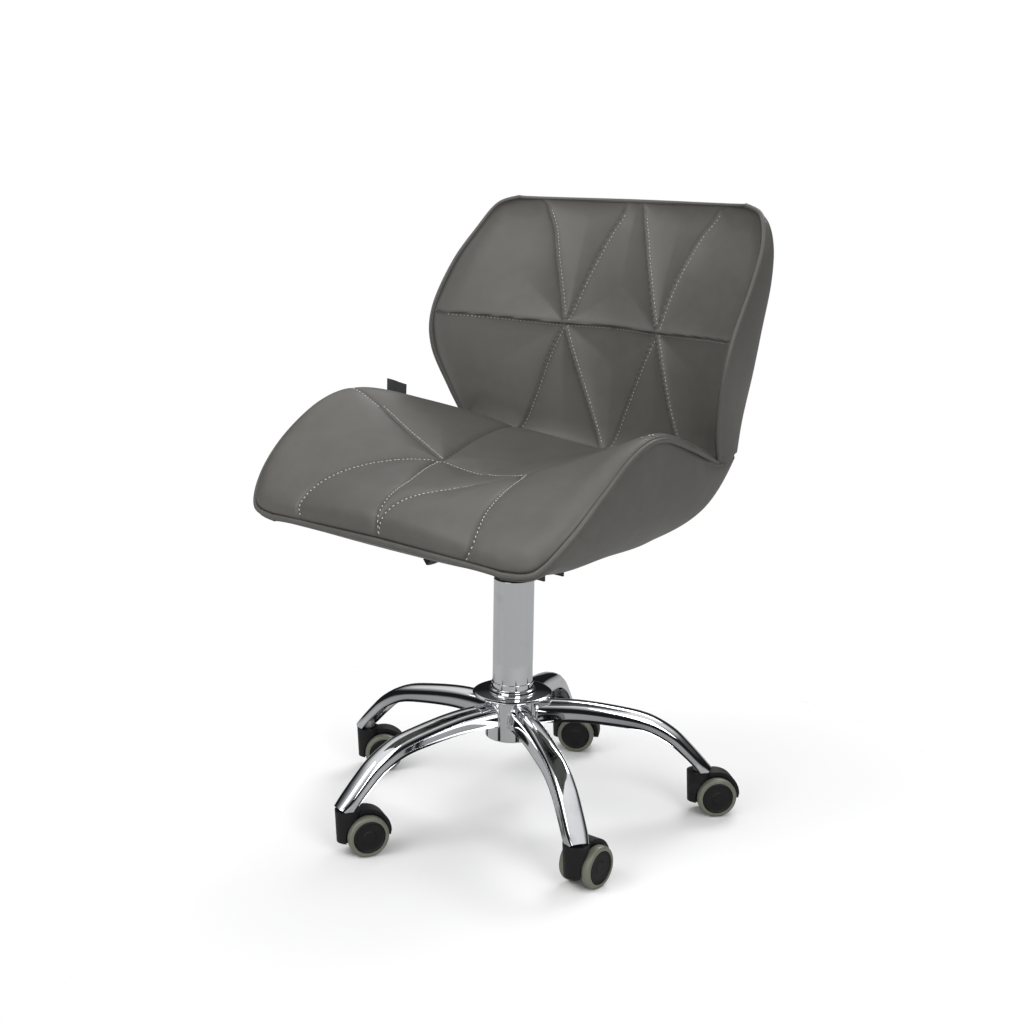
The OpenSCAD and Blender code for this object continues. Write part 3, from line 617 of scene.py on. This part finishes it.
def welt(name, skin, whole_end, centre, flat, stands_for):
    path, away = rim_path(skin, whole_end, centre, flat)
    ring = [(WELT_R * math.cos(a), 0.9 * WELT_R * math.sin(a), 0)
            for a in (2 * math.pi * k / 14 for k in range(14))]
    bm = bmesh.new()
    sweep(bm, ring, along_path([tuple(p) for p in path], lambda k: Vector(away[k])))
    bmesh.ops.recalc_face_normals(bm, faces=bm.faces)
    return add_piece(bm, name, cover_leather, "seat", stands_for)


welt("seat_welt_cord", SEAT, 0, (0, -20 * MM, 0), 2, ("seat_welt",))
welt("back_welt_cord", BACK, 1, (0, 0, 600 * MM), 1, ("back_welt",))

# --- Stitches -------------------------------------------------------------
STITCH_PITCH = 5.2 * MM
STITCH_L = 3.3 * MM
STITCH_R = 0.6 * MM
STITCH_OFFSET = 3.4 * MM
SEWN_SIDE = Vector((1, 0, -0.5))


def stitches(name, pad, skin, seams, outward):
    """A row of stitches beside each seam, laid on the padding."""
    bm = bmesh.new()
    ground = bmesh.new()
    ground.from_mesh(pad.data)
    tree = BVHTree.FromBMesh(ground)
    ground.free()
    for seam in seams:
        s, v = seam_line(seam, 200)
        points = skin_points(skin, s, v, 0.0)
        normals = skin_normals(skin, s, v, 0.0, outward)
        length = np.concatenate([[0], np.cumsum(np.linalg.norm(np.diff(points, axis=0), axis=1))])
        for place in np.arange(6 * MM, length[-1] - 3 * MM, STITCH_PITCH):
            k = min(int(np.searchsorted(length, place)), len(points) - 2)
            ahead = Vector(points[k + 1] - points[k]).normalized()
            up = Vector(normals[k])
            side = ahead.cross(up).normalized()
            side *= 1 if side.dot(SEWN_SIDE) > 0 else -1
            start = Vector(points[k]) + side * STITCH_OFFSET + up * 0.02
            hit, face_normal, _, _ = tree.ray_cast(start, -up, 0.05)
            if hit is None:
                continue
            across = face_normal.cross(ahead).normalized()
            turn = Matrix((across.cross(face_normal), across, face_normal)).transposed().to_4x4()
            at = Matrix.Translation(hit + face_normal * STITCH_R * 0.6) @ turn
            bmesh.ops.create_icosphere(bm, subdivisions=1, radius=1, matrix=at
                                       @ Matrix.Diagonal((STITCH_L / 2, STITCH_R, STITCH_R, 1)))
    return add_piece(bm, name, thread, "seat", (), sharp=None)


stitches("seat_stitches", seat_pad, SEAT, SEAT_SEWN, 1)
stitches("back_stitches", back_pad, BACK, BACK_SEAMS, -1)


# --- Waist band -----------------------------------------------------------
def add_waist_band():
    """A strip of hide between the seat's rear edge and the back's lower edge, set in a little."""
    count = 61
    across = np.linspace(-0.985, 0.985, count)
    low, high = (np.concatenate([skin_points(skin, across, np.full(count, v), 0.08),
                                 skin_points(skin, across[::-1], np.full(count, v), 0.94)])
                 for skin, v in ((SEAT, 0.998), (BACK, 0.002)))
    bm = bmesh.new()
    rings = [[bm.verts.new(point) for point in low * (1 - share) + high * share]
             for share in (0, 0.5, 1)]
    for lower, upper in zip(rings, rings[1:]):
        for n in range(2 * count):
            m = (n + 1) % (2 * count)
            bm.faces.new((lower[n], lower[m], upper[m], upper[n]))
    for ring in (rings[0], rings[-1]):
        for n in range(count - 1):
            bm.faces.new((ring[n], ring[n + 1], ring[-2 - n], ring[-1 - n]))
    bmesh.ops.recalc_face_normals(bm, faces=bm.faces)
    return add_piece(bm, "waist_band", cover_leather, "seat", (), sharp=50)


add_waist_band()


# --- Woven tag ------------------------------------------------------------
def add_tag():
    """A short folded ribbon, sewn in behind the right wing's welt."""
    bm = bmesh.new()
    bmesh.ops.create_grid(bm, x_segments=14, y_segments=10, size=0.5)
    low, high = Vector((-0.2405, 0.010, 0.5045)), Vector((-0.2335, 0.038, 0.4945))
    along = high - low
    up = Vector((-0.004, 0.004, 0.0185))
    out = along.cross(up).normalized()
    for vert in bm.verts:
        a, b = vert.co.x + 0.5, vert.co.y + 0.5
        curl = 0.0012 * math.sin(math.pi * a) * b + 0.0008 * math.sin(7 * a) * b * b
        vert.co = low + along * a + up * b + out * curl
    bmesh.ops.solidify(bm, geom=bm.faces[:], thickness=0.0011)
    bmesh.ops.recalc_face_normals(bm, faces=bm.faces)
    return add_piece(bm, "woven_side_tag", tag_cloth, "seat", (), sharp=50)


add_tag()


# --- Column and hub -------------------------------------------------------
def top_of(node):
    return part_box(node)[1]


COLUMN_R = top_of("column_tube")[0]
COLUMN_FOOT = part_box("column_tube")[0][2]
COLUMN_TOP = top_of("column_tube")[2]
HUB_R = top_of("base_hub")[0]
HUB_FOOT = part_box("base_hub")[0][2]
HUB_TOP = top_of("base_hub")[2]
PLATE_R = top_of("base_plate")[0]
PLATE_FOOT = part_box("base_plate")[0][2]
NECK_TOP = top_of("base_plate")[2]
WALL = 2 * MM


def add_column():
    bm = bmesh.new()
    turned(bm, rounded([(COLUMN_R - WALL, COLUMN_TOP), (COLUMN_R, COLUMN_TOP), (COLUMN_R, NECK_TOP),
                        (COLUMN_R - 0.8 * MM, COLUMN_FOOT), (0.007, COLUMN_FOOT),
                        (0.007, COLUMN_FOOT + 3 * MM), (COLUMN_R - WALL, COLUMN_FOOT + 3 * MM)],
                       0.7 * MM), 96)
    add_piece(bm, "polished_column", chrome, "base", ("column_tube",), 30, True)


def add_hub():
    bm = bmesh.new()
    inner = COLUMN_R - 0.4 * MM
    turned(bm, rounded([(inner, HUB_TOP), (HUB_R - 1 * MM, HUB_TOP), (HUB_R, HUB_TOP - 1 * MM),
                        (HUB_R, HUB_FOOT + 1.2 * MM), (HUB_R - 1.2 * MM, HUB_FOOT),
                        (inner, HUB_FOOT)], 0.8 * MM), 96)
    add_piece(bm, "turned_hub", chrome, "base", ("base_hub",), 30, True)


def add_plate():
    bm = bmesh.new()
    inner = COLUMN_R + 0.05 * MM
    crown = PLATE_FOOT + 4 * MM
    turned(bm, rounded([(inner, NECK_TOP), (COLUMN_R + 1 * MM, NECK_TOP),
                        (COLUMN_R + 1.1 * MM, crown + 5 * MM),
                        (COLUMN_R + 3.4 * MM, crown + 4 * MM), (COLUMN_R + 3.6 * MM, crown + 0.4 * MM),
                        (PLATE_R - 3 * MM, crown - 0.2 * MM), (PLATE_R, PLATE_FOOT + 2.2 * MM),
                        (PLATE_R - 1.2 * MM, PLATE_FOOT), (inner, PLATE_FOOT)], 1.1 * MM, 4), 96)
    add_piece(bm, "stepped_hub_plate", chrome, "base", ("base_plate",), 30, True)


add_column()
add_hub()
add_plate()

# --- Legs -----------------------------------------------------------------
STEM_RING = 237
LEG_TURN = 43
LEGS = 5
LEG_LINE = [(30, 0, 147), (80, 0, 146), (130, 0, 139), (172, 0, 129), (204, 0, 111), (227, 0, 89),
            (STEM_RING + 15, 0, 61)]
LEG_TIP_Z = 57 * MM


def leg_section():
    """A pressed channel, open below, with its lips rolled a little outwards."""
    outer = [(15.5, -27), (15.1, -25.8), (14.5, -22), (14.1, -16), (13.3, -10.5), (11.8, -5.6),
             (9.3, -2.2), (5.8, -0.5), (2, 0)]
    inner = [(13.9, -27), (13.2, -25.6), (12.5, -22), (12.1, -16), (11.3, -11), (9.9, -7.2),
             (7.8, -4.4), (5, -2.7), (2, -2.2)]
    half = outer + [(-x, y) for x, y in reversed(outer)]
    back = [(-x, y) for x, y in inner] + [(x, y) for x, y in reversed(inner)]
    return [(x * MM, y * MM, 0) for x, y in half + back]


def add_leg(k):
    stations = 36
    share = np.linspace(0, 1, stations)
    path = smooth_line(LEG_LINE, share) * MM
    depth = 1 - 0.5 * share ** 0.8
    # The tip narrows a little to a round nose
    width = np.where(share > 0.9, 1 - 0.14 * ((share - 0.9) / 0.1) ** 2.2, 1.0)
    bm = bmesh.new()
    sweep(bm, leg_section(), along_path([tuple(p) for p in path], scales=list(zip(width, depth))))
    bmesh.ops.bisect_plane(bm, geom=bm.verts[:] + bm.edges[:] + bm.faces[:], plane_co=(0, 0, LEG_TIP_Z),
                           plane_no=(0, 0, -1), clear_outer=True)
    bmesh.ops.holes_fill(bm, edges=[e for e in bm.edges if e.is_boundary], sides=0)
    # A weld bead round the leg where it meets the hub
    bead = [(x, y) for x, y, _ in leg_section()[:18]]
    ring = [(1.5 * MM * math.cos(a), 1.5 * MM * math.sin(a), 0)
            for a in (2 * math.pi * n / 8 for n in range(8))]
    line = []
    for n, (x, y) in enumerate(bead):
        reach = math.sqrt(max((HUB_R + 0.4 * MM) ** 2 - x * x, 0))
        line.append((reach + 0.25 * MM * math.sin(2.1 * n), x, 147 * MM + y * 0.97))
    sweep(bm, ring, along_path(line, (1, 0, 0)))
    bmesh.ops.rotate(bm, verts=bm.verts, cent=(0, 0, 0),
                     matrix=Matrix.Rotation(math.radians(LEG_TURN + 360 / LEGS * k), 3, "Z"))
    bmesh.ops.recalc_face_normals(bm, faces=bm.faces)
    add_piece(bm, f"pressed_leg_{k + 1}", chrome, "base", (f"leg_{k + 1}",), 50)


for k in range(LEGS):
    add_leg(k)

# --- Casters --------------------------------------------------------------
YAW = [52, 33, 50, 66, 93]
TRAIL = 20 * MM
WHEEL_R = 25 * MM
WHEEL_W = 13 * MM
WHEEL_GAP = 18 * MM
TYRE_T = 5.5 * MM


def wheel_place(k, side):
    """Where a wheel's inner face stands, with Z along the axle and outwards."""
    turn = math.radians(LEG_TURN + 360 / LEGS * k)
    stem = Matrix.Translation((STEM_RING * MM * math.cos(turn), STEM_RING * MM * math.sin(turn), 0))
    yaw = Matrix.Rotation(math.radians(YAW[k]), 4, "Z")
    return (stem @ yaw @ Matrix.Translation((TRAIL, side * WHEEL_GAP / 2, WHEEL_R))
            @ Matrix.Rotation(math.radians(-90 * side), 4, "X"))


def add_wheel(k, side):
    word = "left" if side > 0 else "right"
    place = wheel_place(k, side)
    core_r = WHEEL_R - TYRE_T
    w = WHEEL_W
    bm = bmesh.new()
    turned(bm, rounded([(3.1 * MM, 0.2 * MM), (core_r - 0.4 * MM, 0.2 * MM), (core_r, 1 * MM),
                        (core_r, w - 1.4 * MM),
                        (core_r - 1.2 * MM, w - 0.2 * MM), (core_r - 2.2 * MM, w - 0.3 * MM),
                        (core_r - 2.8 * MM, w - 1 * MM), (8 * MM, w - 0.8 * MM), (7.4 * MM, w - 0.1 * MM),
                        (0.3 * MM, w), (0.3 * MM, w - 3 * MM), (3.1 * MM, w - 3 * MM)], 0.35 * MM), 64, place)
    add_piece(bm, f"caster_{k + 1}_disc_{word}", nylon, f"wheel_{k + 1}_{word}",
              (f"caster_{k + 1}_core_{word}",), 35)
    bm = bmesh.new()
    r = WHEEL_R
    turned(bm, rounded([(core_r + 0.05 * MM, 0.5 * MM), (r - 2.6 * MM, 0.5 * MM), (r - 0.9 * MM, 1.5 * MM),
                        (r - 0.1 * MM, 3.4 * MM), (r, w / 2), (r - 0.1 * MM, w - 3.4 * MM),
                        (r - 0.9 * MM, w - 1.5 * MM),
                        (r - 2.6 * MM, w - 0.5 * MM), (core_r + 0.4 * MM, w - 0.4 * MM),
                        (core_r + 0.05 * MM, w - 0.9 * MM)], 0.8 * MM, 3), 72, place)
    add_piece(bm, f"caster_{k + 1}_tread_{word}", tyre, f"wheel_{k + 1}_{word}",
              (f"caster_{k + 1}_tyre_{word}",), 50)


for k in range(LEGS):
    refined(f"caster_{k + 1}_hood", f"caster_{k + 1}_moulded_hood", nylon, f"fork_{k + 1}",
            0.7 * MM)
    for side in (1, -1):
        add_wheel(k, side)

refined("lever_grip", "lever_paddle", nylon, "lever", 1.6 * MM)
refined("column_bush", "column_collar", nylon, "base", 0.6 * MM)
refined("seat_plate", "pressed_seat_plate", black_paint, "seat", 0.4 * MM)
refined("caster_sockets", "stem_bushes", steel, "base", 0.4 * MM)

# --- Camera, light and floor ----------------------------------------------
# The eye stands to the sitter's front left, a little above the seat
EYE = Vector((1.2876, -1.3944, 0.8054))
EYE_TURN = math.radians(42.82)
EYE_TILT = math.radians(12.49)
EYE_ROLL = math.radians(0.91)
LENS = 56.12


def add_camera():
    data = bpy.data.cameras.new("eye")
    data.lens = LENS
    data.sensor_width = 36.0
    data.clip_end = 50.0
    camera = bpy.data.objects.new("eye", data)
    camera.matrix_world = (Matrix.Translation(EYE) @ Matrix.Rotation(EYE_TURN, 4, "Z")
                           @ Matrix.Rotation(math.pi / 2 - EYE_TILT, 4, "X")
                           @ Matrix.Rotation(EYE_ROLL, 4, "Z"))
    bpy.context.scene.collection.objects.link(camera)
    bpy.context.scene.camera = camera


def add_light(name, place, aim, size, power):
    data = bpy.data.lights.new(name, "AREA")
    data.shape = "RECTANGLE"
    data.size, data.size_y = size
    data.energy = power
    light = bpy.data.objects.new(name, data)
    light.location = place
    light.rotation_euler = (Vector(aim) - Vector(place)).to_track_quat("-Z", "Y").to_euler()
    bpy.context.scene.collection.objects.link(light)


def add_floor():
    bm = bmesh.new()
    bmesh.ops.create_circle(bm, cap_ends=True, segments=96, radius=0.62)
    mesh = bpy.data.meshes.new("studio_floor")
    bm.to_mesh(mesh)
    bm.free()
    f = Finish("pale_floor")
    tone = f.blend(f.noise(3, 2), grey(0.90), grey(0.93))
    # Polished parts see a darker floor
    glossy = f.node("ShaderNodeLightPath", out="Is Glossy Ray")
    tone = f.blend(glossy, tone, grey(0.42))
    mesh.materials.append(f.surface(Base_Color=tone, Roughness=0.8, Specular_IOR_Level=0.0))
    floor = bpy.data.objects.new("studio_floor", mesh)
    bpy.context.scene.collection.objects.link(floor)


def add_world():
    """White all round for the eye, but with a dark band above the horizon for the chrome to show."""
    world = bpy.data.worlds.new("studio")
    world.use_nodes = True
    f = Board(world.node_tree, "Generated")
    height = f.node("ShaderNodeSeparateXYZ", {}, {0: f.place}, "Z")
    soft = f.noise(2.2, 1) * 0.12 - 0.06
    ramp = f.node("ShaderNodeValToRGB", {"stops": [
        (0.0, grey(0.40)), (0.40, grey(0.50)), (0.47, grey(0.30)), (0.50, rgb(0.014, 0.014, 0.015)),
        (0.66, rgb(0.012, 0.012, 0.013)), (0.72, rgb(0.16, 0.16, 0.165)), (0.82, grey(0.80)),
        (1.0, grey(1.0))]},
        {"Fac": height * 0.5 + 0.5 + soft})
    seen = f.node("ShaderNodeLightPath", out="Is Camera Ray")
    colour = f.blend(seen, ramp, grey(1.0))
    sky = f.node("ShaderNodeBackground", {}, {"Color": colour, "Strength": 1.0})
    end = f.tree.nodes.new("ShaderNodeOutputWorld")
    f.tree.links.new(sky.socket, end.inputs["Surface"])
    bpy.context.scene.world = world


add_camera()
add_floor()
add_world()
bpy.context.scene.view_settings.view_transform = "Standard"
add_light("key", (-0.9, -2.4, 2.7), (0, 0, 0.35), (1.8, 1.8), 40)
add_light("fill", (2.6, -0.9, 1.5), (0, 0, 0.4), (1.2, 1.6), 34)
add_light("low", (0.4, -3.2, 0.9), (0, 0, 0.5), (2.0, 1.2), 22)
add_light("back", (-0.4, 2.3, 2.4), (0, 0, 0.4), (1.8, 1.0), 40)
